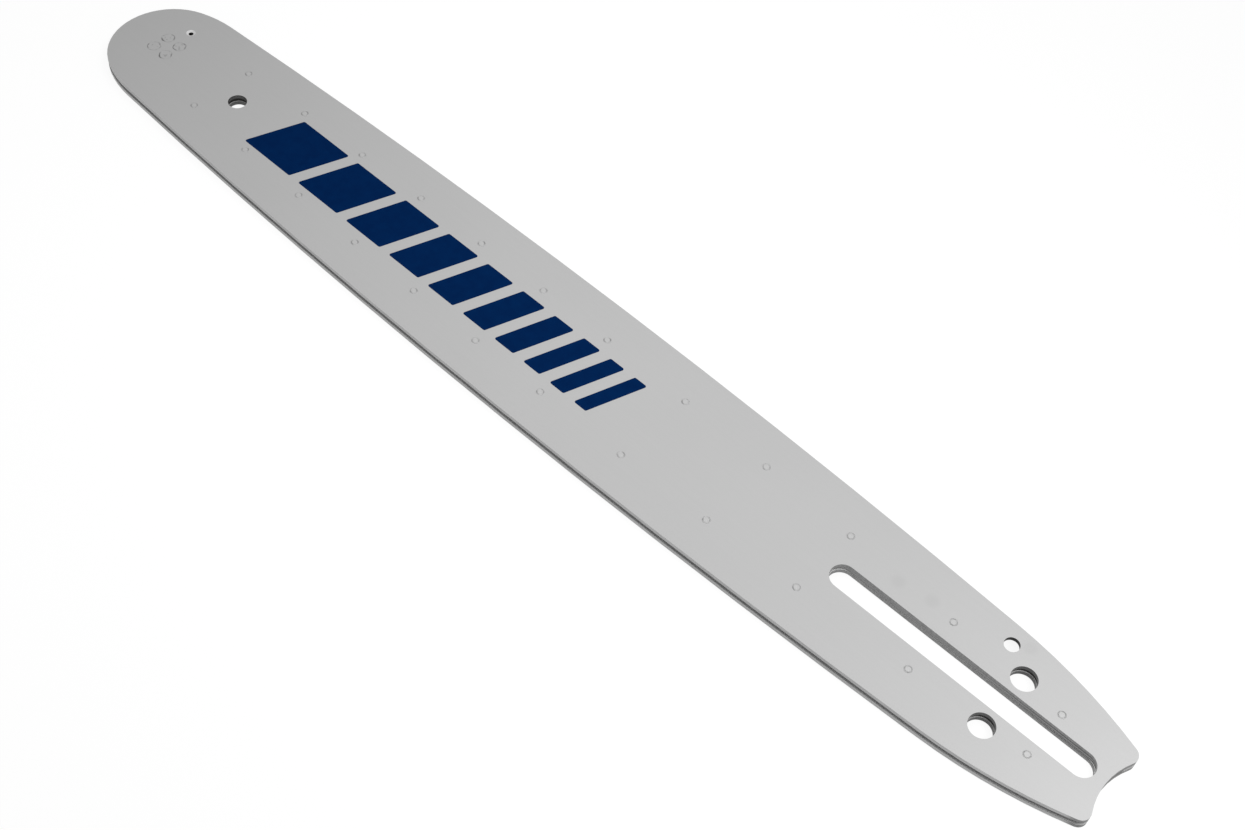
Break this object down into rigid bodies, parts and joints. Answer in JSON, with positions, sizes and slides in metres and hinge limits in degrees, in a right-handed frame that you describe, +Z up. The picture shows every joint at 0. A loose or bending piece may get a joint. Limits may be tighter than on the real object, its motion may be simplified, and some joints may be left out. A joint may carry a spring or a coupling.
{
  "type": "chainsaw guide bar",
  "caption": "Laminated chainsaw guide bar with a chain groove round its edge, a slotted tail mount and a toothed sprocket on rollers in its round nose.",
  "frame": {"origin": "centre of the stud slot on the lower face", "axes": "+X along the bar towards the nose, +Y across it, +Z up through the plates from the lower face"},
  "size_m": [0.4061, 0.0546, 0.0041],
  "materials": {
    "plate_coat": "satin silver-grey coat on steel plate",
    "core_steel": "dark bare steel strip",
    "sprocket_steel": "hardened steel, satin",
    "bearing_steel": "ground steel"
  },
  "bodies": {
    "bar": {"upper_side_plate": "plate_coat", "lower_side_plate": "plate_coat", "core_plate": "core_steel", "bearing_race": "bearing_steel", "nose_rivets": "plate_coat"},
    "sprocket": {"nose_sprocket": "sprocket_steel"},
    "roller_ring": {"bearing_roller_01": "bearing_steel", "bearing_roller_02": "bearing_steel", "bearing_roller_03": "bearing_steel", "bearing_roller_04": "bearing_steel", "bearing_roller_05": "bearing_steel", "bearing_roller_06": "bearing_steel", "bearing_roller_07": "bearing_steel", "bearing_roller_08": "bearing_steel", "bearing_roller_09": "bearing_steel", "bearing_roller_10": "bearing_steel", "bearing_roller_11": "bearing_steel", "bearing_roller_12": "bearing_steel", "bearing_roller_13": "bearing_steel", "bearing_roller_14": "bearing_steel", "bearing_roller_15": "bearing_steel", "bearing_roller_16": "bearing_steel", "bearing_roller_17": "bearing_steel", "bearing_roller_18": "bearing_steel", "bearing_roller_19": "bearing_steel", "bearing_roller_20": "bearing_steel"}
  },
  "joints": [
    {"name": "sprocket_spin", "type": "hinge", "parent": "bar", "child": "sprocket", "pos_m": [0.33698, 0, 0.00205], "axis": [0, 0, 1], "continuous": true},
    {"name": "roller_orbit", "type": "hinge", "parent": "bar", "child": "roller_ring", "pos_m": [0.33698, 0, 0.00205], "axis": [0, 0, 1], "continuous": true}
  ],
  "couplings": [
    {"joint": "roller_orbit", "follows": "sprocket_spin", "ratio": 0.57602}
  ]
}
